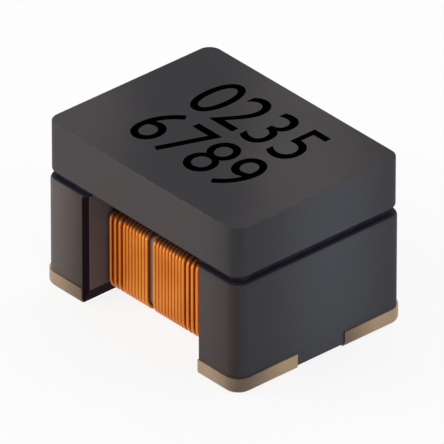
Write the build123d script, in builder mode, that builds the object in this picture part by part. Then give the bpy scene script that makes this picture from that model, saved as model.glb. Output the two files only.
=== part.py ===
from build123d import *
import math
import os

os.makedirs("parts", exist_ok=True)

# All lengths are in millimetres. X runs along the winding axis, Y across the
# terminals of one end, Z up from the board. The origin is on the board, mid part.

# Size over the terminals and the lid
overall_length = 4.52
overall_width = 3.44
overall_height = 2.925

# Terminals: plated metal on the lower corners of each flange
plating = 0.027
terminal_height = 0.276
terminal_reach = 1.24
terminal_edge_radius = 0.085

# Lid: a flat ferrite plate, a little smaller than the drum
plate_setback_length = 0.033
plate_setback_width = 0.013
plate_thickness = 0.90
plate_corner_radius = 0.22
plate_lower_edge_radius = 0.155
plate_upper_edge_radius = 0.025

# Glue between the flange tops and the lid
adhesive_thickness = 0.09
adhesive_inset = 0.10

# Flanges of the drum core
flange_corner_radius = 0.24
flange_top_edge_radius = 0.07
inner_chamfer = 0.085
foot_bevel_length = 0.06
foot_bevel_height = 0.22

# Winding wire, over its enamel, and where the turns lie. Its section has few
# sides and its bends few steps, because the turns repeat so often.
wire_diameter = 0.071
wire_sides = 8
bend_steps = 3
strand_gap = 0.0026
loose_strand_gap = 0.0365
middle_gap = 0.115
winding_end_room = 0.034
winding_recess = 0.423
winding_bottom = 0.105
winding_headroom = 0.395
winding_lower_radius = 0.26
winding_upper_radius = 0.15
touch_gap = 0.002

# Strands that pass the front face, from left to right, counted as spaces between them
loose_spaces = 3
left_spaces = 7
middle_spaces = 9
right_spaces = 4

# Wire ends, from the bar to their slots under the flanges
exit_gap = 0.025
lead_bend_radius = 0.09
lead_straight = 0.03
slot_side_gap = 0.014
slot_end_gap = 0.05
slot_end_wall = 0.34

wire_radius = wire_diameter / 2
wire_to_wall = wire_radius + touch_gap

# Spaces between the centre lines of neighbouring strands
strand_steps = [wire_diameter + loose_strand_gap] * loose_spaces
strand_steps += [wire_diameter + strand_gap] * left_spaces
strand_steps += [wire_diameter + middle_gap]
strand_steps += [wire_diameter + strand_gap] * middle_spaces
strand_steps += [wire_diameter + loose_strand_gap] * loose_spaces
strand_steps += [wire_diameter + strand_gap] * right_spaces
strand_steps += [wire_diameter + exit_gap]

# The bar is as long as the turns need, and the flanges take the rest
bar_length = sum(strand_steps) + wire_diameter + 2 * winding_end_room
drum_length = overall_length - 2 * plating
drum_width = overall_width - 2 * plating
flange_inner = bar_length / 2
flange_length = drum_length / 2 - flange_inner
foot_inner = flange_inner + inner_chamfer

# X of each strand on the front face, and of the exit after the last
strand_x = [winding_end_room + wire_radius - flange_inner]
for step in strand_steps:
    strand_x.append(strand_x[-1] + step)

# Levels of the lid, the flange tops and the winding under them
plate_length = drum_length - 2 * plate_setback_length
plate_width = drum_width - 2 * plate_setback_width
plate_bottom = overall_height - plate_thickness
flange_top = plate_bottom - adhesive_thickness
winding_top = flange_top - winding_headroom

# Centre lines of the wire round the bar
path_half_width = drum_width / 2 - winding_recess - wire_radius
path_bottom = winding_bottom + wire_radius
path_top = winding_top - wire_radius
path_lower_radius = winding_lower_radius - wire_radius
path_upper_radius = winding_upper_radius - wire_radius
lead_offset = path_half_width - path_lower_radius - lead_bend_radius - lead_straight

# The bar fills the turns with a hair of room
bar_half_width = path_half_width - wire_to_wall
bar_bottom = path_bottom + wire_to_wall
bar_top = path_top - wire_to_wall
bar_lower_radius = path_lower_radius - wire_to_wall
bar_upper_radius = path_upper_radius - wire_to_wall

# Slots in the flange undersides, lined by the plating
slot_width = wire_diameter + 2 * slot_side_gap
slot_ceiling = path_bottom + wire_to_wall
slot_length = flange_length - slot_end_wall
bond_end = flange_inner + slot_length - slot_end_gap

# How far a cutting shape runs past what it cuts
overcut = 0.02


def flange_outline(end, grow):
    """Plan of one flange with rounded outer corners and chamfered inner ones."""
    outer = end * (drum_length / 2 + grow)
    inner = end * flange_inner
    shoulder = end * foot_inner
    half = drum_width / 2 + grow
    narrow = drum_width / 2 - inner_chamfer
    with BuildSketch() as outline:
        with BuildLine():
            Polyline(
                (inner, -narrow),
                (shoulder, -half),
                (outer, -half),
                (outer, half),
                (shoulder, half),
                (inner, narrow),
                close=True,
            )
        make_face()
        far = Axis.X if end > 0 else -Axis.X
        fillet(vertices().group_by(far)[-1], flange_corner_radius + grow)
    return outline.sketch


def outer_edges(candidates):
    """Those edges that lie beyond the inner corners of the flanges."""
    return [edge for edge in candidates if abs(edge.center().X) > foot_inner - touch_gap]


def slot_outline(end, side, width, start, length):
    """Plan of one wire slot, open towards the bar."""
    with BuildSketch() as outline:
        with Locations((end * (start + length / 2), side * lead_offset)):
            Rectangle(length, width)
    return outline.sketch


# Drum core: bar, flanges, foot bevels and wire slots
with BuildPart() as drum_core:
    with BuildSketch(Plane.YZ.offset(-flange_inner - overcut)):
        with Locations((0, (bar_bottom + bar_top) / 2)):
            Rectangle(2 * bar_half_width, bar_top - bar_bottom)
        fillet(vertices().group_by(Axis.Y)[0], bar_lower_radius)
        fillet(vertices().group_by(Axis.Y)[-1], bar_upper_radius)
    extrude(amount=bar_length + 2 * overcut)
    for end in (-1, 1):
        with BuildSketch(Plane.XY.offset(plating)):
            add(flange_outline(end, 0))
        extrude(amount=flange_top - plating)
    fillet(outer_edges(edges().group_by(Axis.Z)[-1]), flange_top_edge_radius)
    fillet(outer_edges(edges().group_by(Axis.Z)[0]), terminal_edge_radius - plating)
    for end in (-1, 1):
        with BuildSketch(Plane.XZ.offset(-drum_width)):
            with BuildLine():
                Polyline(
                    (end * (flange_inner - overcut), plating - overcut),
                    (end * (flange_inner + foot_bevel_length), plating - overcut),
                    (end * (flange_inner + foot_bevel_length), plating),
                    (end * flange_inner, plating + foot_bevel_height),
                    (end * (flange_inner - overcut), plating + foot_bevel_height),
                    close=True,
                )
            make_face()
        extrude(amount=2 * drum_width, mode=Mode.SUBTRACT)
        with BuildSketch(Plane.XY):
            for side in (-1, 1):
                add(slot_outline(end, side, slot_width + 2 * plating, flange_inner, slot_length + plating))
        extrude(amount=slot_ceiling + plating, mode=Mode.SUBTRACT)
drum_core.part.label = "drum_core"
export_step(drum_core.part, "parts/drum_core.step")


# Lid: a plate with rounded upright corners and well rounded lower edges
with BuildPart() as plate_core:
    with BuildSketch(Plane.XY.offset(plate_bottom)):
        RectangleRounded(plate_length, plate_width, plate_corner_radius)
    extrude(amount=plate_thickness)
    fillet(edges().group_by(Axis.Z)[0], plate_lower_edge_radius)
    fillet(edges().group_by(Axis.Z)[-1], plate_upper_edge_radius)
plate_core.part.label = "plate_core"
export_step(plate_core.part, "parts/plate_core.step")


# Glue layers between the flange tops and the lid
for end, place in ((-1, "left"), (1, "right")):
    with BuildPart() as adhesive:
        with BuildSketch(Plane.XY.offset(flange_top)):
            add(flange_outline(end, -adhesive_inset))
        extrude(amount=adhesive_thickness)
    adhesive.part.label = "adhesive_" + place
    export_step(adhesive.part, "parts/adhesive_" + place + ".step")


# Terminals: plating over the outer corner, side and foot of a flange
for end, place in ((-1, "left"), (1, "right")):
    for side, face in ((-1, "front"), (1, "back")):
        name = "terminal_" + place + "_" + face
        with BuildPart() as terminal:
            with BuildSketch(Plane.XY):
                add(flange_outline(end, plating))
            extrude(amount=terminal_height)
            fillet(outer_edges(edges().group_by(Axis.Z)[0]), terminal_edge_radius)
            with BuildSketch(Plane.XY):
                with Locations((end * (foot_inner + overall_length / 2), side * overall_width / 2)):
                    Rectangle(overall_length, 2 * terminal_reach)
            extrude(amount=terminal_height, mode=Mode.INTERSECT)
            add(drum_core.part, mode=Mode.SUBTRACT)
            with BuildSketch(Plane.XY):
                add(slot_outline(end, side, slot_width, flange_inner, slot_length))
            extrude(amount=slot_ceiling, mode=Mode.SUBTRACT)
        terminal.part.label = name
        export_step(terminal.part, "parts/" + name + ".step")


def bend_points(before, corner, after, radius):
    """Corner points of one bend, whose straight steps touch an arc of that radius."""
    back = (Vector(*before) - Vector(*corner)).normalized()
    onward = (Vector(*after) - Vector(*corner)).normalized()
    turn = math.pi - math.radians(back.get_angle(onward))
    half_step = turn / bend_steps / 2
    centre = Vector(*corner) + (back + onward).normalized() * (radius / math.cos(turn / 2))
    first_arm = back.cross(onward).cross(back).normalized() * -radius
    second_arm = back * -radius
    points = []
    for step in range(bend_steps):
        angle = (2 * step + 1) * half_step
        arm = first_arm * math.cos(angle) + second_arm * math.sin(angle)
        points.append(centre + arm / math.cos(half_step))
    return points


def winding_points(first):
    """Points of one wire from its left bond to its right bond, bends stepped."""
    side = -1 if first == 0 else 1
    last = len(strand_x) - 3 + first
    corners = [(-bond_end, side * lead_offset, path_bottom)]
    corners.append((strand_x[0], side * lead_offset, path_bottom))
    radii = [lead_bend_radius]
    for index in range(first, last + 1, 2):
        front_x = strand_x[index]
        back_x = strand_x[index + 1]
        corners.append((front_x, -path_half_width, path_bottom))
        corners.append((front_x, -path_half_width, path_top))
        corners.append((back_x, path_half_width, path_top))
        corners.append((back_x, path_half_width, path_bottom))
        radii += [path_lower_radius, path_upper_radius, path_upper_radius, path_lower_radius]
    corners.append((strand_x[-1], side * lead_offset, path_bottom))
    corners.append((bond_end, side * lead_offset, path_bottom))
    radii.append(lead_bend_radius)
    points = [Vector(*corners[0])]
    for index, radius in enumerate(radii):
        points += bend_points(*corners[index:index + 3], radius)
    points.append(Vector(*corners[-1]))
    return points


# Winding: two wires side by side, each one unbroken from bond to bond
for first, face in ((0, "front"), (1, "back")):
    points = winding_points(first)
    with BuildPart() as winding_wire:
        with BuildLine() as path:
            Polyline(*points)
        with BuildSketch(Plane.YZ.offset(points[0].X)):
            with Locations((points[0].Y, points[0].Z)):
                RegularPolygon(wire_radius, wire_sides, rotation=180 / wire_sides)
        sweep(path=path.line, transition=Transition.RIGHT)
    winding_wire.part.label = "winding_wire_" + face
    export_step(winding_wire.part, "parts/winding_wire_" + face + ".step")
    wire_length = sum(edge.length for edge in path.line.edges())
    section_area = wire_sides / 2 * wire_radius**2 * math.sin(2 * math.pi / wire_sides)
    print(face, "wire length", round(wire_length, 2), "mm")
    print("volume over section times length", winding_wire.part.volume / (wire_length * section_area))
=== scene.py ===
"""Looks of a small wire-wound common mode choke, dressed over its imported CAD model."""

import logging
import math
from dataclasses import dataclass, field
from enum import Enum

import bmesh
import bpy
from mathutils import Matrix, Vector


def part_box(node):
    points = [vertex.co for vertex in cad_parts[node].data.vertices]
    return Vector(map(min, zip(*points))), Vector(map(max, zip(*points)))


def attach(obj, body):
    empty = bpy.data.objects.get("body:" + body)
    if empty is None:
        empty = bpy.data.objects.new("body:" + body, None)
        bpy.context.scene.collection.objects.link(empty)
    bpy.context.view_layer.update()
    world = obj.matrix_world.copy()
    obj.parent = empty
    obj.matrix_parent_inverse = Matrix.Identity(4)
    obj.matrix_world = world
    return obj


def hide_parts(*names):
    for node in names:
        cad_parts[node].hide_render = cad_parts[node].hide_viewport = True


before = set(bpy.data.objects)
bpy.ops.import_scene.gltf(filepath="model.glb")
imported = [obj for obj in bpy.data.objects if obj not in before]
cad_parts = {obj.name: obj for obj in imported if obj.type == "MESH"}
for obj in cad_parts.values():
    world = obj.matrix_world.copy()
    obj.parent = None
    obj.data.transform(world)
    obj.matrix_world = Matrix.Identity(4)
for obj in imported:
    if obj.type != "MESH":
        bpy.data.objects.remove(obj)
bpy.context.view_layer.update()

# Sizes are written in millimetres and meshes are scaled to metres by this
MM = 0.001

# The photograph is square. Its width in pixels and that of the camera's sensor in
# millimetres set the lens.
PHOTO_WIDTH = 444
SENSOR_WIDTH = 36.0

# Flat faces over this area, in square millimetres, keep flat shading
LARGE_FACE = 0.1

# A face lies square to an axis when one part of its normal is over this
SQUARE_ON = 0.9999

# Profile of a bevel that makes the edge round
ROUND_PROFILE = 0.5

# Width in millimetres over which a sharp border fades
SHARP = 0.005

# The value that random patterns vary about
PATTERN_MIDDLE = 0.5

# Numbers of the Mix node's colour sockets, because other sockets have the same names
MIX_SHARE = 0
MIX_FIRST = 6
MIX_SECOND = 7
MIX_RESULT = 2

BODY = "root"

logging.basicConfig(level=logging.INFO, format="%(name)s: %(message)s")
log = logging.getLogger("choke")

Colour = tuple[float, float, float, float]
Span = tuple[float, float]

WHITE: Colour = (1.0, 1.0, 1.0, 1.0)


class Slot(Enum):
    """Names of the ferrite and enamelled copper material slots, which no piece here takes."""

    FERRITE = "ferrite"
    COPPER = "enamelled_copper"


def srgb(red: float, green: float, blue: float) -> Colour:
    """Turns a screen colour into the linear colour that a shader takes.

    Args:
        red: Red from 0 to 255.
        green: Green from 0 to 255.
        blue: Blue from 0 to 255.

    Returns:
        The linear colour, opaque.
    """

    def linear(level: float) -> float:
        """Linear level of one channel, by the curve that screens use."""
        share = level / 255
        return share / 12.92 if share <= 0.04045 else ((share + 0.055) / 1.055) ** 2.4

    return (linear(red), linear(green), linear(blue), 1.0)


def corners(node: str) -> tuple[Vector, Vector]:
    """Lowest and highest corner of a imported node, in millimetres."""
    low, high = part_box(node)
    return low / MM, high / MM


class Term:
    """A number socket that takes part in sums written as Python expressions."""

    def __init__(self, shader: "Shader", socket: bpy.types.NodeSocket) -> None:
        """Wraps a socket.

        Args:
            shader: The shader whose node tree holds the socket.
            socket: An output socket that carries a number.
        """
        self.shader = shader
        self.socket = socket

    def __add__(self, other: "Term | float") -> "Term":
        """Sum."""
        return self.shader.math("ADD", self, other)

    def __radd__(self, other: float) -> "Term":
        """Sum with a number on the left."""
        return self.shader.math("ADD", other, self)

    def __sub__(self, other: "Term | float") -> "Term":
        """Difference."""
        return self.shader.math("SUBTRACT", self, other)

    def __rsub__(self, other: float) -> "Term":
        """Difference with a number on the left."""
        return self.shader.math("SUBTRACT", other, self)

    def __mul__(self, other: "Term | float") -> "Term":
        """Product."""
        return self.shader.math("MULTIPLY", self, other)

    def __rmul__(self, other: float) -> "Term":
        """Product with a number on the left."""
        return self.shader.math("MULTIPLY", other, self)

    def __abs__(self) -> "Term":
        """Size without sign."""
        return self.shader.math("ABSOLUTE", self)

    def least(self, other: "Term | float") -> "Term":
        """The lesser of the two."""
        return self.shader.math("MINIMUM", self, other)

    def most(self, other: "Term | float") -> "Term":
        """The greater of the two."""
        return self.shader.math("MAXIMUM", self, other)

    def step(self, start: float, end: float) -> "Term":
        """Rises smoothly from 0 to 1 while this number goes from start to end.

        Args:
            start: Where the rise starts.
            end: Where it ends, which may be below start.

        Returns:
            The smooth step.
        """
        ranged = self.shader.node(
            "ShaderNodeMapRange",
            {"interpolation_type": "SMOOTHSTEP"},
            {"Value": self, "From Min": start, "From Max": end},
        )
        return Term(self.shader, ranged.outputs["Result"])


class Shader:
    """The node tree of a material or of the world."""

    def __init__(self, owner: bpy.types.Material | bpy.types.World) -> None:
        """Empties the owner's tree.

        Args:
            owner: The material or world.
        """
        owner.use_nodes = True
        self.owner = owner
        self.tree = owner.node_tree
        self.tree.nodes.clear()

    @classmethod
    def material(cls, name: str) -> "Shader":
        """Starts a new material."""
        return cls(bpy.data.materials.new(name))

    def node(self, kind: str, settings: dict | None = None, inputs: dict | None = None) -> bpy.types.Node:
        """Adds one node.

        Args:
            kind: The node's type.
            settings: Properties that are set first.
            inputs: Values, terms or sockets by the input's name or number.

        Returns:
            The new node.
        """
        made = self.tree.nodes.new(kind)
        for name, value in (settings or {}).items():
            setattr(made, name, value)
        for name, value in (inputs or {}).items():
            self._feed(made.inputs[name], value)
        return made

    def _feed(self, socket: bpy.types.NodeSocket, value: object) -> None:
        """Links a term or a socket to an input, or sets the input's value.

        Args:
            socket: The input.
            value: A term, an output socket or a plain value.
        """
        if isinstance(value, Term):
            self.tree.links.new(value.socket, socket)
        elif isinstance(value, bpy.types.NodeSocket):
            self.tree.links.new(value, socket)
        else:
            socket.default_value = value

    def math(self, operation: str, *values: "Term | float") -> Term:
        """Adds a Math node.

        Args:
            operation: The node's operation.
            values: What its inputs take.

        Returns:
            The result.
        """
        made = self.node("ShaderNodeMath", {"operation": operation}, dict(enumerate(values)))
        return Term(self, made.outputs[0])

    def mix(self, share: Term, first: object, second: object) -> bpy.types.NodeSocket:
        """Mixes two colours.

        Args:
            share: Share of the second colour.
            first: A colour or a colour socket.
            second: A colour or a colour socket.

        Returns:
            The mixed colour's socket.
        """
        inputs = {MIX_SHARE: share, MIX_FIRST: first, MIX_SECOND: second}
        return self.node("ShaderNodeMix", {"data_type": "RGBA"}, inputs).outputs[MIX_RESULT]

    def place(self) -> bpy.types.NodeSocket:
        """Object coordinates, in metres."""
        return self.node("ShaderNodeTexCoord").outputs["Object"]

    def axes(self) -> tuple[Term, Term, Term]:
        """Splits the object coordinates.

        Returns:
            X, Y and Z, in millimetres.
        """
        scaled = self.node("ShaderNodeVectorMath", {"operation": "SCALE"}, {0: self.place(), "Scale": 1 / MM})
        split = self.node("ShaderNodeSeparateXYZ", inputs={0: scaled.outputs[0]})
        return tuple(Term(self, output) for output in split.outputs)

    def facing(self) -> tuple[Term, Term, Term]:
        """Splits the way that the surface faces.

        Returns:
            Its shares along the part's X, Y and Z.
        """
        made = self.node("ShaderNodeTexCoord").outputs["Normal"]
        split = self.node("ShaderNodeSeparateXYZ", inputs={0: made})
        return tuple(Term(self, output) for output in split.outputs)

    def seen(self) -> Term:
        """Finds the rays that look at a surface, unlike those that only gather its light.

        Returns:
            1 for the rays of a camera or a glossy surface, else 0.
        """
        paths = self.node("ShaderNodeLightPath")
        camera = Term(self, paths.outputs["Is Camera Ray"])
        return camera.most(Term(self, paths.outputs["Is Glossy Ray"]))

    def noise(self, size: float, detail: float = 2.0) -> Term:
        """Soft random pattern on object coordinates.

        Args:
            size: Rough size of one patch, in millimetres.
            detail: How much finer pattern lies over the patches.

        Returns:
            A number about 0.5.
        """
        made = self.node(
            "ShaderNodeTexNoise",
            inputs={"Vector": self.place(), "Scale": 1 / (size * MM), "Detail": detail},
        )
        return Term(self, made.outputs["Fac"])

    def wave(self, along: Term, length: float, peak: float) -> Term:
        """Slow wave.

        Args:
            along: What the wave runs along.
            length: From one crest to the next.
            peak: Where one crest lies.

        Returns:
            A number from 0 in the troughs to 1 on the crests.
        """
        return self.math("COSINE", (along - peak) * (math.tau / length)) * 0.5 + 0.5

    def bump(self, height: Term, depth: float) -> bpy.types.NodeSocket:
        """Normals of a relief.

        Args:
            height: The relief, from 0 to 1.
            depth: What 1 stands for, in millimetres.

        Returns:
            The normal's socket.
        """
        made = self.node("ShaderNodeBump", inputs={"Height": height, "Distance": depth * MM})
        return made.outputs["Normal"]

    def surface(self, inputs: dict) -> bpy.types.Material:
        """Closes the tree with a surface shader.

        Args:
            inputs: What the surface shader takes.

        Returns:
            The finished material.
        """
        shaded = self.node("ShaderNodeBsdfPrincipled", inputs=inputs)
        self.node("ShaderNodeOutputMaterial", inputs={"Surface": shaded.outputs[0]})
        return self.owner


@dataclass(frozen=True)
class FerriteFinish:
    """Matt grey sintered ferrite: broad soft tones of painted sheen and shade, random clouds and a fine
    grain.
    """

    light: Colour = srgb(76, 72, 73)
    dark: Colour = srgb(53, 52, 55)
    # A cooler copy for the ends, with a wave of painted shade that darkens them towards their corners
    end_light: Colour = srgb(78, 79, 84)
    end_dark: Colour = srgb(62, 61, 65)
    speck: Colour = srgb(94, 91, 90)
    pit: Colour = srgb(34, 32, 33)
    # A slow slanted wave of painted sheen bands over the top, with random clouds
    tone_length: float = 3.8
    tone_peak: float = 1.35
    tone_slant: tuple[float, float] = (0.66, 0.75)
    tone_strength: float = 0.85
    cloud_size: float = 1.1
    cloud_detail: float = 1.0
    cloud_strength: float = 0.5
    end_tone_length: float = 3.6
    end_tone_peak: float = 0.25
    # Painted shade that dims the front and back towards the right end
    side_shade: Span = (1.2, 2.3)
    side_shade_by: float = 0.7
    side_facing: Span = (0.5, 0.9)
    end_facing: Span = (0.4, 0.9)
    grain_size: float = 0.028
    grain_depth: float = 0.0012
    fine_detail: float = 3.0
    speck_grain: Span = (0.60, 0.78)
    speck_strength: float = 0.22
    pit_grain: Span = (0.40, 0.24)
    pit_strength: float = 0.45
    roughness: float = 0.66
    roughness_spread: float = 0.25
    gloss: float = 0.06

    def tones(self, shader: Shader) -> bpy.types.NodeSocket:
        """Broad tones of painted light and shade: slow bands of painted sheen over the top, painted shade
        along the ends, sides that dim to the right with painted shade.

        Args:
            shader: The material under way.

        Returns:
            The colour's socket.
        """
        x, y, _ = shader.axes()
        across, along, _ = shader.facing()
        slant = x * self.tone_slant[0] + y * self.tone_slant[1]
        # Painted sheen: slow slanted bands over the top
        wave = shader.wave(slant, self.tone_length, self.tone_peak)
        cloud = shader.noise(self.cloud_size, self.cloud_detail) - PATTERN_MIDDLE
        top = (wave + cloud * self.cloud_strength) * self.tone_strength
        # Painted shade on the front and back, darker towards the right end
        side = 1 - x.step(*self.side_shade) * self.side_shade_by
        tone = top + (side - top) * abs(along).step(*self.side_facing)
        colour = shader.mix(tone.step(0.0, 1.0), self.dark, self.light)
        # Painted shade on the ends, a cooler copy darker towards the corners
        end_wave = shader.wave(y, self.end_tone_length, self.end_tone_peak)
        end = shader.mix(end_wave, self.end_dark, self.end_light)
        return shader.mix(abs(across).step(*self.end_facing), colour, end)

    def base(self, shader: Shader) -> tuple[bpy.types.NodeSocket, Term]:
        """Colour and grain.

        Args:
            shader: The material under way.

        Returns:
            The colour's socket and the grain.
        """
        grain = shader.noise(self.grain_size, self.fine_detail)
        specks = grain.step(*self.speck_grain) * self.speck_strength
        pits = grain.step(*self.pit_grain) * self.pit_strength
        colour = shader.mix(specks, self.tones(shader), self.speck)
        return shader.mix(pits, colour, self.pit), grain

    def close(self, shader: Shader, colour: bpy.types.NodeSocket, grain: Term) -> bpy.types.Material:
        """Surface of the ferrite.

        Args:
            shader: The material under way.
            colour: Its colour's socket.
            grain: Its grain.

        Returns:
            The finished material.
        """
        return shader.surface(
            {
                "Base Color": colour,
                "Roughness": self.roughness + (grain - PATTERN_MIDDLE) * self.roughness_spread,
                "Specular IOR Level": self.gloss,
                "Normal": shader.bump(grain, self.grain_depth),
            }
        )


@dataclass(frozen=True)
class LidFinish(FerriteFinish):
    """Ferrite of the lid, whose upper edge is slightly worn and whose lower rim is darkened with painted
    shade.
    """

    worn: Colour = srgb(98, 94, 92)
    edge: float = 0.035
    wear_size: float = 0.12
    wear_patches: Span = (0.35, 0.75)
    wear_strength: float = 0.5
    # Painted shade along the lid's lower rim, all round
    rim_shade: Colour = srgb(24, 22, 32)
    rim_shade_height: float = 0.035
    rim_shade_reach: float = 0.12
    fade: float = 0.008

    def near_sides(self, x: Term, y: Term, start: float, end: float) -> Term:
        """Rises towards the lid's four sides.

        Args:
            x: Place along the part, in millimetres.
            y: Place across the part, in millimetres.
            start: How far inside the sides the rise starts.
            end: How far inside them it ends.

        Returns:
            A share, 0 in the middle of the lid and 1 at its sides.
        """
        high = corners("plate_core")[1]
        near_ends = abs(x).step(high.x - start, high.x - end)
        return near_ends.most(abs(y).step(high.y - start, high.y - end))

    def material(self) -> bpy.types.Material:
        """Makes the lid's material.

        Returns:
            The finished material.
        """
        shader = Shader.material("lid_ferrite")
        colour, grain = self.base(shader)
        x, y, z = shader.axes()
        low, high = corners("plate_core")
        rim = self.near_sides(x, y, self.edge, 0.0).least(z.step(high.z - self.edge, high.z))
        wear = rim * shader.noise(self.wear_size, self.fine_detail).step(*self.wear_patches)
        colour = shader.mix(wear * self.wear_strength, colour, self.worn)
        # Painted shade along the lower rim, near the four sides
        outer = self.near_sides(x, y, self.rim_shade_reach, self.rim_shade_reach / 2)
        level = low.z + self.rim_shade_height
        rim_shade_share = outer * z.step(level + self.fade, level - self.fade)
        return self.close(shader, shader.mix(rim_shade_share, colour, self.rim_shade), grain)


@dataclass(frozen=True)
class DrumFinish(FerriteFinish):
    """Ferrite of the drum: painted shade on the inner facets and top rim, painted light on the inner walls
    and bar.
    """

    # Painted shade on the inner chamfer facets and the bevel beneath them
    facet_shade: Colour = srgb(27, 11, 18)
    # Painted light: inner walls paler than the ferrite, which lifts their shade
    inner: Colour = srgb(107, 100, 101)
    # Painted light: the bar paler than the ferrite, which lifts its shade between the strands
    bar: Colour = srgb(152, 126, 104)
    # Painted orange reflection of the copper on the bar towards its ends, between the loose strands
    copper_reflection: Colour = srgb(255, 164, 66)
    # Painted shade on the flanges' top rim, under the lid
    rim_shade: Colour = srgb(39, 36, 48)
    # Painted light and shade on the flanges' fronts and backs: each flange lightest at its left, the left
    # flange lighter
    front_left: Colour = srgb(106, 98, 96)
    front_right: Colour = srgb(79, 74, 74)
    front_shade: Colour = srgb(42, 28, 18)
    front_length: float = 3.65
    front_peak: float = -2.3
    front_sharpness: float = 1.5
    front_middle: Span = (-0.5, 0.5)
    inner_chamfer: float = 0.085
    copper_reflection_from: float = 0.5
    rim_shade_height: float = 0.018
    fade: float = 0.008

    def tones(self, shader: Shader) -> bpy.types.NodeSocket:
        """Broad tones, with a wave of painted light and shade along the front and back of the flanges.

        Args:
            shader: The material under way.

        Returns:
            The colour's socket.
        """
        colour = super().tones(shader)
        x, _, _ = shader.axes()
        _, along, _ = shader.facing()
        # Painted light and shade along the fronts and backs of the flanges
        wave = shader.wave(x, self.front_length, self.front_peak)
        high = shader.mix(x.step(*self.front_middle), self.front_left, self.front_right)
        front = shader.mix(shader.math("POWER", wave, self.front_sharpness), self.front_shade, high)
        return shader.mix(abs(along).step(*self.side_facing), colour, front)

    def material(self) -> bpy.types.Material:
        """Makes the drum's material.

        Returns:
            The finished material.
        """
        shader = Shader.material("drum_ferrite")
        colour, grain = self.base(shader)
        x, _, z = shader.axes()
        wall = corners("adhesive_right")[0].x
        foot = wall + self.inner_chamfer
        top = corners("drum_core")[1].z
        reach = abs(x)
        # Painted light on the inner walls
        colour = shader.mix(reach.step(wall + self.fade, wall), colour, self.inner)
        # Painted reflection of the copper on the bar towards its ends
        reflection_share = reach.step(self.copper_reflection_from, self.copper_reflection_from + self.fade)
        bar = shader.mix(reflection_share, self.bar, self.copper_reflection)
        # Painted light on the bar
        colour = shader.mix(reach.step(wall - self.fade, wall - 2 * self.fade), colour, bar)
        # Painted shade on the inner facets
        facet = reach.step(wall, wall + self.fade) * reach.step(foot, foot - self.fade)
        colour = shader.mix(facet, colour, self.facet_shade)
        # Painted shade on the top rim, under the lid
        rim = z.step(top - self.rim_shade_height - self.fade, top - self.rim_shade_height + self.fade)
        return self.close(shader, shader.mix(rim, colour, self.rim_shade), grain)


@dataclass(frozen=True)
class GlueFinish:
    """Dark set glue with a soft gloss."""

    deep: Colour = srgb(18, 15, 26)
    thin: Colour = srgb(31, 28, 40)
    thin_patches: Span = (0.3, 0.7)
    ripple_size: float = 0.16
    ripple_depth: float = 0.006
    roughness: float = 0.4
    roughness_spread: float = 0.2
    gloss: float = 0.15

    def material(self) -> bpy.types.Material:
        """Makes the glue's material.

        Returns:
            The finished material.
        """
        shader = Shader.material("set_glue")
        ripple = shader.noise(self.ripple_size)
        return shader.surface(
            {
                "Base Color": shader.mix(ripple.step(*self.thin_patches), self.deep, self.thin),
                "Roughness": self.roughness + ripple * self.roughness_spread,
                "Specular IOR Level": self.gloss,
                "Normal": shader.bump(ripple, self.ripple_depth),
            }
        )


@dataclass(frozen=True)
class EnamelFinish:
    """Copper wire under clear orange enamel, tinned where its ends are bonded, with painted shade in the
    grooves and on the tops under the lid.

    The span of the groove's painted shade is in wire radii, outside the turns' centre line.
    """

    copper: Colour = srgb(236, 146, 44)
    deep: Colour = srgb(220, 124, 26)
    # Painted shade in the grooves between turns
    groove_shade: Colour = srgb(180, 86, 12)
    # Painted shade on the tops of the turns under the lid
    under_lid_shade: Colour = srgb(92, 44, 14)
    tin: Colour = srgb(188, 184, 178)
    shade_size: float = 0.7
    shade_patches: Span = (0.3, 0.7)
    ripple_size: float = 0.05
    ripple_depth: float = 0.0008
    groove_shade_span: Span = (0.9, 0.4)
    tinned_from: float = 1.40
    tinned_fade: float = 0.03
    lid_shade: Span = (1.43, 1.52)
    metal: float = 0.75
    tin_adds_metal: float = 0.15
    shade_takes_metal: float = 0.65
    roughness: float = 0.34
    ripple_adds_roughness: float = 0.1
    shade_adds_roughness: float = 0.5
    coat: float = 0.12
    coat_roughness: float = 0.25

    def material(self, winding: "Winding") -> bpy.types.Material:
        """Makes the wires' material.

        Args:
            winding: Where the turns lie.

        Returns:
            The finished material.
        """
        shader = Shader.material("enamelled_wire")
        x, _, z = shader.axes()
        shade = shader.noise(self.shade_size).step(*self.shade_patches)
        ripple = shader.noise(self.ripple_size)
        ragged = abs(x) + (ripple - PATTERN_MIDDLE) * self.tinned_fade
        bare = ragged.step(self.tinned_from, self.tinned_from + self.tinned_fade)
        start, end = (share * winding.wire_radius for share in self.groove_shade_span)
        enamel = shader.mix(shade, self.copper, self.deep)
        # Painted shade in the grooves between turns
        enamel = shader.mix(winding.outward(shader).step(start, end), enamel, self.groove_shade)
        # Painted shade on the tops under the lid, with a duller, less metallic surface
        shaded = z.step(*self.lid_shade)
        enamel = shader.mix(shaded, enamel, self.under_lid_shade)
        metallic = self.metal + bare * self.tin_adds_metal - shaded * self.shade_takes_metal
        roughness = self.roughness + ripple * self.ripple_adds_roughness + shaded * self.shade_adds_roughness
        return shader.surface(
            {
                "Base Color": shader.mix(bare, enamel, self.tin),
                "Metallic": metallic,
                "Roughness": roughness,
                "Coat Weight": self.coat - bare.most(shaded) * self.coat,
                "Coat Roughness": self.coat_roughness,
                "Normal": shader.bump(ripple, self.ripple_depth),
            }
        )


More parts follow.
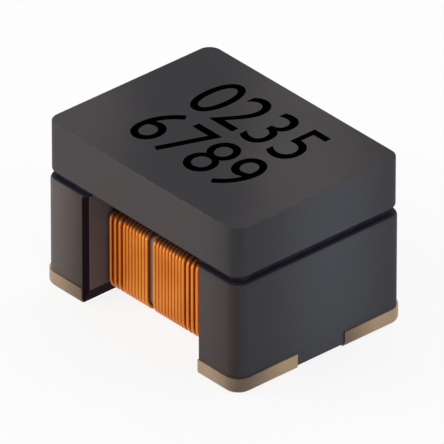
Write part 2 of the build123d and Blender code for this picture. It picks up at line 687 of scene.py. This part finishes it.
@dataclass(frozen=True)
class PlatingFinish:
    """Matt tin-nickel plating with slow slanted bands of painted sheen and shade, and random patches."""

    pale: Colour = srgb(167, 143, 114)
    dull: Colour = srgb(104, 87, 74)
    # Slow slanted bands of painted sheen and shade
    sheen_x: float = 1.8
    sheen_y: float = 1.93
    sheen_start: float = 0.93
    patch_size: float = 0.35
    patch_strength: float = 0.35
    grain_size: float = 0.022
    grain_depth: float = 0.0012
    metal: float = 0.55
    roughness: float = 0.44
    roughness_spread: float = 0.3

    def material(self) -> bpy.types.Material:
        """Makes the terminals' material.

        Returns:
            The finished material.
        """
        shader = Shader.material("terminal_plate")
        x, y, _ = shader.axes()
        # Painted sheen and shade in slow slanted bands, with random patches
        sheen_along = x * (1 / self.sheen_x) + y * (1 / self.sheen_y)
        patch = shader.noise(self.patch_size) - PATTERN_MIDDLE
        tone = shader.wave(sheen_along, 1.0, self.sheen_start) + patch * self.patch_strength
        grain = shader.noise(self.grain_size)
        return shader.surface(
            {
                "Base Color": shader.mix(tone, self.dull, self.pale),
                "Metallic": self.metal,
                "Roughness": self.roughness + (grain - PATTERN_MIDDLE) * self.roughness_spread,
                "Normal": shader.bump(grain, self.grain_depth),
            }
        )


@dataclass(frozen=True)
class InkFinish:
    """Flat black printing ink, a little thin in places."""

    full: Colour = srgb(1, 1, 2)
    thin: Colour = srgb(9, 8, 9)
    patch_size: float = 0.03
    thin_patches: Span = (0.55, 0.75)
    roughness: float = 0.8
    roughness_spread: float = 0.2
    gloss: float = 0.0

    def material(self) -> bpy.types.Material:
        """Makes the ink's material.

        Returns:
            The finished material.
        """
        shader = Shader.material("print_ink")
        patch = shader.noise(self.patch_size)
        return shader.surface(
            {
                "Base Color": shader.mix(patch.step(*self.thin_patches), self.full, self.thin),
                "Roughness": self.roughness + patch * self.roughness_spread,
                "Specular IOR Level": self.gloss,
            }
        )


def add_piece(
    name: str, shape: bmesh.types.BMesh, material: bpy.types.Material
) -> bpy.types.Object:
    """Turns a finished shape in millimetres into a piece on the part's body.

    Args:
        name: The piece's name.
        shape: Its shape, which is freed.
        material: Its finish.

    Returns:
        The new object.
    """
    bmesh.ops.scale(shape, vec=(MM, MM, MM), verts=shape.verts)
    mesh = bpy.data.meshes.new(name)
    shape.to_mesh(mesh)
    shape.free()
    mesh.materials.append(material)
    piece = bpy.data.objects.new(name, mesh)
    bpy.context.scene.collection.objects.link(piece)
    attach(piece, BODY)
    log.info("%s: %d faces", name, len(mesh.polygons))
    return piece


def smooth_curved_faces(shape: bmesh.types.BMesh) -> None:
    """Shades a shape smoothly, apart from its large flat faces.

    Args:
        shape: A shape in millimetres, whose flat faces lie square to an axis.
    """
    shape.normal_update()
    for face in shape.faces:
        flat = max(abs(part) for part in face.normal) > SQUARE_ON
        face.smooth = not (flat and face.calc_area() > LARGE_FACE)


def round_edges(
    shape: bmesh.types.BMesh, edges: list[bmesh.types.BMEdge], radius: float, steps: int
) -> None:
    """Rounds some edges.

    Args:
        shape: The shape that holds them.
        edges: The edges.
        radius: Their new radius.
        steps: Faces round each edge.
    """
    bmesh.ops.bevel(
        shape,
        geom=edges,
        offset=radius,
        offset_type="OFFSET",
        affect="EDGES",
        segments=steps,
        profile=ROUND_PROFILE,
        material=-1,
    )


def dress_node(name: str, material: bpy.types.Material) -> None:
    """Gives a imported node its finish.

    Args:
        name: The node's name.
        material: The finish.
    """
    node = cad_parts[name]
    for index in range(len(node.data.materials)):
        node.data.materials[index] = material
    log.info("%s: packed node, %s", name, material.name)


@dataclass
class FerriteCore:
    """Drum, lid and the glue that joins them.

    The drum and the glue stay as packed. The lid is drawn anew, with a crisper lower edge.
    """

    lid_corner: float = 0.22
    lid_lower_edge: float = 0.06
    lid_upper_edge: float = 0.025
    corner_steps: int = 12
    edge_steps: int = 5
    drum: DrumFinish = field(default_factory=DrumFinish)
    lid: LidFinish = field(default_factory=LidFinish)
    glue: GlueFinish = field(default_factory=GlueFinish)

    def lid_shape(self) -> bmesh.types.BMesh:
        """Draws a plate with rounded upright corners and rounded lower and upper edges.

        Returns:
            The plate, in millimetres.
        """
        low, high = corners("plate_core")
        shape = bmesh.new()
        bmesh.ops.create_cube(shape, size=1.0)
        bmesh.ops.scale(shape, vec=high - low, verts=shape.verts)
        bmesh.ops.translate(shape, vec=(low + high) / 2, verts=shape.verts)
        uprights = [
            edge
            for edge in shape.edges
            if abs(edge.verts[0].co.z - edge.verts[1].co.z) > self.lid_corner
        ]
        round_edges(shape, uprights, self.lid_corner, self.corner_steps)
        for level, radius in ((low.z, self.lid_lower_edge), (high.z, self.lid_upper_edge)):
            rim = [
                edge
                for edge in shape.edges
                if all(abs(vert.co.z - level) < radius / 2 for vert in edge.verts)
            ]
            round_edges(shape, rim, radius, self.edge_steps)
        smooth_curved_faces(shape)
        return shape

    def build(self) -> None:
        """Builds the lid and dresses the drum and the glue."""
        dress_node("drum_core", self.drum.material())
        piece = add_piece("lid", self.lid_shape(), self.lid.material())
        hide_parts("plate_core")
        glue = self.glue.material()
        dress_node("adhesive_left", glue)
        dress_node("adhesive_right", glue)


@dataclass
class Terminals:
    """The four plated feet, as packed."""

    finish: PlatingFinish = field(default_factory=PlatingFinish)

    def dress(self) -> None:
        """Gives the four feet their plating."""
        plating = self.finish.material()
        for end in ("left", "right"):
            for side in ("front", "back"):
                dress_node(f"terminal_{end}_{side}", plating)


@dataclass
class WirePath:
    """Centre line of a wire: straight runs joined by round bends."""

    corners: list[Vector]
    radii: list[float]

    def bend(self, index: int) -> tuple[Vector, Vector, Vector, float]:
        """Works out the bend at one corner.

        Args:
            index: The bend's number, from 0.

        Returns:
            Where the bend starts, its centre, its axis and its angle.
        """
        before, corner, after = self.corners[index:index + 3]
        back = (before - corner).normalized()
        onward = (after - corner).normalized()
        turn = math.pi - back.angle(onward)
        radius = self.radii[index]
        start = corner + back * radius * math.tan(turn / 2)
        centre = corner + (back + onward).normalized() * radius / math.cos(turn / 2)
        return start, centre, onward.cross(back).normalized(), turn


@dataclass
class WireShape:
    """Round wire that is drawn along its path ring by ring."""

    radius: float
    sides: int
    bend_steps: int
    shape: bmesh.types.BMesh = field(default_factory=bmesh.new)
    verts: list[bmesh.types.BMVert] = field(default_factory=list, init=False)
    edges: list[bmesh.types.BMEdge] = field(default_factory=list, init=False)
    first_edges: list[bmesh.types.BMEdge] = field(default_factory=list, init=False)

    def start(self, place: Vector) -> None:
        """Sets the first ring, square to X.

        Args:
            place: Its centre.
        """
        turned = Matrix.Translation(place) @ Matrix.Rotation(math.pi / 2, 4, "Y")
        made = bmesh.ops.create_circle(
            self.shape, cap_ends=False, segments=self.sides, radius=self.radius, matrix=turned
        )
        self.verts = made["verts"]
        self.edges = list({edge for vert in self.verts for edge in vert.link_edges})
        self.first_edges = self.edges

    def run_to(self, place: Vector) -> None:
        """Draws a straight run.

        Args:
            place: Where the run ends.
        """
        middle = sum((vert.co for vert in self.verts), Vector()) / len(self.verts)
        made = bmesh.ops.extrude_edge_only(self.shape, edges=self.edges)
        self._take_ring(made["geom"])
        bmesh.ops.translate(self.shape, verts=self.verts, vec=place - middle)

    def bend_round(self, centre: Vector, axis: Vector, angle: float) -> None:
        """Draws a bend.

        Args:
            centre: The bend's centre.
            axis: The axis that it turns about.
            angle: How far it turns.
        """
        made = bmesh.ops.spin(
            self.shape,
            geom=self.verts + self.edges,
            cent=centre,
            axis=axis,
            angle=angle,
            steps=self.bend_steps,
            use_duplicate=False,
        )
        self._take_ring(made["geom_last"])

    def _take_ring(self, made: list) -> None:
        """Keeps the newest ring.

        Args:
            made: What the operator made.
        """
        self.verts = [part for part in made if isinstance(part, bmesh.types.BMVert)]
        ring = set(self.verts)
        found = {edge for vert in ring for edge in vert.link_edges}
        self.edges = [edge for edge in found if set(edge.verts) <= ring]

    def close(self) -> bmesh.types.BMesh:
        """Caps both ends.

        Returns:
            The finished wire.
        """
        for ring in (self.first_edges, self.edges):
            bmesh.ops.contextual_create(self.shape, geom=ring)
        bmesh.ops.recalc_face_normals(self.shape, faces=self.shape.faces)
        smooth_curved_faces(self.shape)
        return self.shape


@dataclass
class Winding:
    """Two enamelled wires, wound side by side round the bar."""

    wire_radius: float = 0.0355
    sides: int = 14
    bend_steps: int = 6
    end_room: float = 0.034
    close_pitch: float = 0.0736
    loose_pitch: float = 0.1075
    exit_pitch: float = 0.096
    loose_spaces: int = 3
    left_spaces: int = 7
    middle_spaces: int = 9
    right_spaces: int = 4
    half_width: float = 1.2345
    bottom: float = 0.1405
    top: float = 1.5045
    lower_bend: float = 0.2245
    upper_bend: float = 0.1145
    lead_offset: float = 0.89
    lead_bend: float = 0.09
    bond_end: float = 1.843
    finish: EnamelFinish = field(default_factory=EnamelFinish)

    def strand_places(self) -> list[float]:
        """X of each strand on the front face, and of the exit after the last.

        The middle gap takes what the other strands leave between the flanges.

        Returns:
            The places from left to right, in millimetres.
        """
        outermost = corners("adhesive_right")[0].x - self.end_room - self.wire_radius
        before = [self.loose_pitch] * self.loose_spaces + [self.close_pitch] * self.left_spaces
        after = [self.close_pitch] * self.middle_spaces + [self.loose_pitch] * self.loose_spaces
        after += [self.close_pitch] * self.right_spaces + [self.exit_pitch]
        middle = 2 * outermost - sum(before) - sum(after)
        places = [-outermost]
        for step in before + [middle] + after:
            places.append(places[-1] + step)
        return places

    def outward(self, shader: Shader) -> Term:
        """How far a point lies outside the turns' centre line, a rectangle with round corners.

        Args:
            shader: The material under way.

        Returns:
            The distance in millimetres, seen along the winding axis.
        """
        _, y, z = shader.axes()
        middle = (self.bottom + self.top) / 2
        lower = z.step(middle, middle - self.close_pitch)
        corner = lower * (self.lower_bend - self.upper_bend) + self.upper_bend
        beside = abs(y) - self.half_width + corner
        above = abs(z - middle) - (self.top - middle) + corner
        round_part = shader.math("POWER", beside.most(0.0), 2.0) + shader.math("POWER", above.most(0.0), 2.0)
        return shader.math("SQRT", round_part) + beside.most(above).least(0.0) - corner

    def path(self, first: int) -> WirePath:
        """Centre line of one wire, which takes every second strand.

        Args:
            first: Its first strand, 0 for the front wire and 1 for the back one.

        Returns:
            The path from the left bond to the right one.
        """
        places = self.strand_places()
        strands = len(places) - 1
        side = -1 if first == 0 else 1
        points = [Vector((-self.bond_end, side * self.lead_offset, self.bottom))]
        points.append(Vector((places[0], side * self.lead_offset, self.bottom)))
        radii = [self.lead_bend]
        for index in range(first, strands, 2):
            front, back = places[index], places[index + 1]
            points.append(Vector((front, -self.half_width, self.bottom)))
            points.append(Vector((front, -self.half_width, self.top)))
            points.append(Vector((back, self.half_width, self.top)))
            points.append(Vector((back, self.half_width, self.bottom)))
            radii += [self.lower_bend, self.upper_bend, self.upper_bend, self.lower_bend]
        points.append(Vector((places[-1], side * self.lead_offset, self.bottom)))
        points.append(Vector((self.bond_end, side * self.lead_offset, self.bottom)))
        radii.append(self.lead_bend)
        return WirePath(points, radii)

    def wire(self, first: int) -> bmesh.types.BMesh:
        """Shape of one wire.

        Args:
            first: Its first strand.

        Returns:
            The wire, capped at both ends.
        """
        path = self.path(first)
        drawn = WireShape(self.wire_radius, self.sides, self.bend_steps)
        drawn.start(path.corners[0])
        for index in range(len(path.radii)):
            start, centre, axis, angle = path.bend(index)
            drawn.run_to(start)
            drawn.bend_round(centre, axis, angle)
        drawn.run_to(path.corners[-1])
        return drawn.close()

    def build(self) -> None:
        """Builds and dresses both wires."""
        enamel = self.finish.material(self)
        for first, side in enumerate(("front", "back")):
            piece = add_piece(f"wire_{side}", self.wire(first), enamel)
            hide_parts(f"winding_wire_{side}")


@dataclass
class Marking:
    """Two lines of plain numbers printed on the lid.

    The font's width and height are roughly those of its own digits at size 1.
    """

    lines: tuple[str, str] = ("0235", "6789")
    digit_height: float = 1.02
    digit_width: float = 0.62
    font_height: float = 0.7
    font_width: float = 0.5
    pitch: float = 0.62
    left: float = -1.23
    baselines: tuple[float, float] = (0.20, -1.01)
    thickness: float = 0.004
    boldness: float = -0.002
    finish: InkFinish = field(default_factory=InkFinish)

    def digit(self, sign: str) -> bpy.types.Mesh:
        """Flat mesh of one digit, as the font draws it.

        Args:
            sign: The digit.

        Returns:
            A new mesh.
        """
        curve = bpy.data.curves.new("digit", "FONT")
        curve.body = sign
        curve.offset = self.boldness
        holder = bpy.data.objects.new("digit", curve)
        bpy.context.scene.collection.objects.link(holder)
        bpy.context.view_layer.update()
        mesh = bpy.data.meshes.new_from_object(holder)
        bpy.data.objects.remove(holder)
        bpy.data.curves.remove(curve)
        return mesh

    def build(self) -> None:
        """Builds the print as one piece."""
        shape = bmesh.new()
        level = corners("plate_core")[1].z - self.thickness / 2
        stretch = (self.digit_width / self.font_width, self.digit_height / self.font_height, 1)
        for line, baseline in zip(self.lines, self.baselines):
            for index, sign in enumerate(line):
                before = len(shape.verts)
                mesh = self.digit(sign)
                shape.from_mesh(mesh)
                bpy.data.meshes.remove(mesh)
                shape.verts.ensure_lookup_table()
                new = shape.verts[before:]
                bmesh.ops.scale(shape, vec=stretch, verts=new)
                place = (self.left + self.pitch * index, baseline, level)
                bmesh.ops.translate(shape, vec=place, verts=new)
        made = bmesh.ops.extrude_face_region(shape, geom=shape.faces[:])
        raised = [part for part in made["geom"] if isinstance(part, bmesh.types.BMVert)]
        bmesh.ops.translate(shape, vec=(0, 0, self.thickness), verts=raised)
        bmesh.ops.recalc_face_normals(shape, faces=shape.faces)
        add_piece("lid_numbers", shape, self.finish.material())


@dataclass(frozen=True)
class Lamp:
    """A soft square lamp that shines on the part's middle.

    Its level is roughly the brightness that it gives a white face turned towards it.
    """

    name: str
    azimuth: float
    elevation: float
    level: float
    tint: tuple[float, float, float] = (1.0, 1.0, 1.0)
    distance: float = 40.0
    width: float = 36.0

    def build(self, target: Vector) -> None:
        """Hangs the lamp.

        Args:
            target: What it shines on, in metres.
        """
        light = bpy.data.lights.new(self.name, "AREA")
        light.shape = "SQUARE"
        light.size = self.width * MM
        light.color = self.tint
        light.energy = self.level * (math.pi * self.distance * MM) ** 2
        lamp = bpy.data.objects.new(self.name, light)
        bpy.context.scene.collection.objects.link(lamp)
        back = direction(self.azimuth, self.elevation)
        lamp.location = target + back * self.distance * MM
        lamp.rotation_euler = back.to_track_quat("Z", "Y").to_euler()


def direction(azimuth: float, elevation: float) -> Vector:
    """Direction from the part towards a camera or a lamp.

    Args:
        azimuth: Degrees round Z, 0 in front of the part and 90 at its right end.
        elevation: Degrees above the board.

    Returns:
        A unit vector.
    """
    turn, rise = math.radians(azimuth), math.radians(elevation)
    return Vector((math.sin(turn) * math.cos(rise), -math.cos(turn) * math.cos(rise), math.sin(rise)))


@dataclass
class Studio:
    """Floor, plain light and the camera."""

    target_height: float = 1.4189
    camera_azimuth: float = 48.635
    camera_elevation: float = 31.759
    camera_distance: float = 247.03
    focal_pixels: float = 16158.0
    centre_x: float = 223.48
    centre_y: float = 221.0
    nearest: float = 10.0
    furthest: float = 10000.0
    floor_half: float = 400.0
    floor_paint: Colour = (0.97, 0.97, 0.97, 1.0)
    hidden_inset: float = 0.06
    floor_shadow: float = 0.14
    ambient: float = 0.42
    lamps: tuple[Lamp, ...] = (
        Lamp("left_lamp", -38.0, 24.0, 0.66, (1.0, 0.98, 0.95)),
        Lamp("right_lamp", 122.0, 24.0, 0.34, (0.95, 0.98, 1.0)),
        Lamp("back_lamp", 215.0, 45.0, 0.28),
    )

    @property
    def target(self) -> Vector:
        """Point that the camera and the lamps are turned to, in metres."""
        return Vector((0, 0, self.target_height * MM))

    def world(self) -> None:
        """Even light from all round, white where a camera sees it."""
        world = bpy.data.worlds.new("studio_world")
        bpy.context.scene.world = world
        shader = Shader(world)
        level = self.ambient + shader.seen() * (1 - self.ambient)
        sky = shader.node("ShaderNodeBackground", inputs={"Color": WHITE, "Strength": level})
        shader.node("ShaderNodeOutputWorld", inputs={"Surface": sky.outputs[0]})

    def floor(self) -> None:
        """White floor that keeps a soft shadow and isn't seen from below."""
        shape = bmesh.new()
        bmesh.ops.create_grid(shape, x_segments=1, y_segments=1, size=self.floor_half * MM)
        mesh = bpy.data.meshes.new("floor")
        shape.to_mesh(mesh)
        shape.free()
        mesh.materials.append(self.floor_material())
        floor = bpy.data.objects.new("floor", mesh)
        bpy.context.scene.collection.objects.link(floor)

    def floor_material(self) -> bpy.types.Material:
        """Makes the floor's material, clear from below and where the flanges hide it.

        Returns:
            The finished material.
        """
        shader = Shader.material("pale_floor")
        paint = shader.node("ShaderNodeBsdfDiffuse", inputs={"Color": self.floor_paint})
        glow = shader.node("ShaderNodeEmission", inputs={"Color": WHITE, "Strength": 1.0})
        lit = shader.node(
            "ShaderNodeMixShader",
            inputs={0: shader.seen() * (1 - self.floor_shadow), 1: paint.outputs[0], 2: glow.outputs[0]},
        )
        clear = shader.node("ShaderNodeBsdfTransparent")
        below = Term(shader, shader.node("ShaderNodeNewGeometry").outputs["Backfacing"])
        x, y, _ = shader.axes()
        inner = corners("adhesive_right")[0].x + self.hidden_inset
        high = corners("drum_core")[1]
        outer = high.x - self.hidden_inset
        side = high.y - self.hidden_inset
        hidden = abs(x).step(inner, inner + SHARP) * abs(x).step(outer, outer - SHARP)
        hidden = hidden * abs(y).step(side, side - SHARP)
        whole = shader.node(
            "ShaderNodeMixShader", inputs={0: below.most(hidden), 1: lit.outputs[0], 2: clear.outputs[0]}
        )
        shader.node("ShaderNodeOutputMaterial", inputs={"Surface": whole.outputs[0]})
        return shader.owner

    def camera(self) -> None:
        """Camera at the photograph's angle and framing."""
        data = bpy.data.cameras.new("camera")
        data.sensor_width = SENSOR_WIDTH
        data.lens = self.focal_pixels * SENSOR_WIDTH / PHOTO_WIDTH
        data.shift_x = 0.5 - self.centre_x / PHOTO_WIDTH
        data.shift_y = self.centre_y / PHOTO_WIDTH - 0.5
        data.clip_start = self.nearest * MM
        data.clip_end = self.furthest * MM
        camera = bpy.data.objects.new("camera", data)
        bpy.context.scene.collection.objects.link(camera)
        back = direction(self.camera_azimuth, self.camera_elevation)
        camera.location = self.target + back * self.camera_distance * MM
        camera.rotation_euler = back.to_track_quat("Z", "Y").to_euler()
        bpy.context.scene.camera = camera

    def build(self) -> None:
        """Sets up the studio."""
        bpy.context.scene.view_settings.view_transform = "Standard"
        self.world()
        self.floor()
        for lamp in self.lamps:
            lamp.build(self.target)
        self.camera()


def main() -> None:
    """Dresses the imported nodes, builds the new pieces and sets up the studio."""
    FerriteCore().build()
    Terminals().dress()
    Winding().build()
    Marking().build()
    Studio().build()


if __name__ == "__main__":
    main()
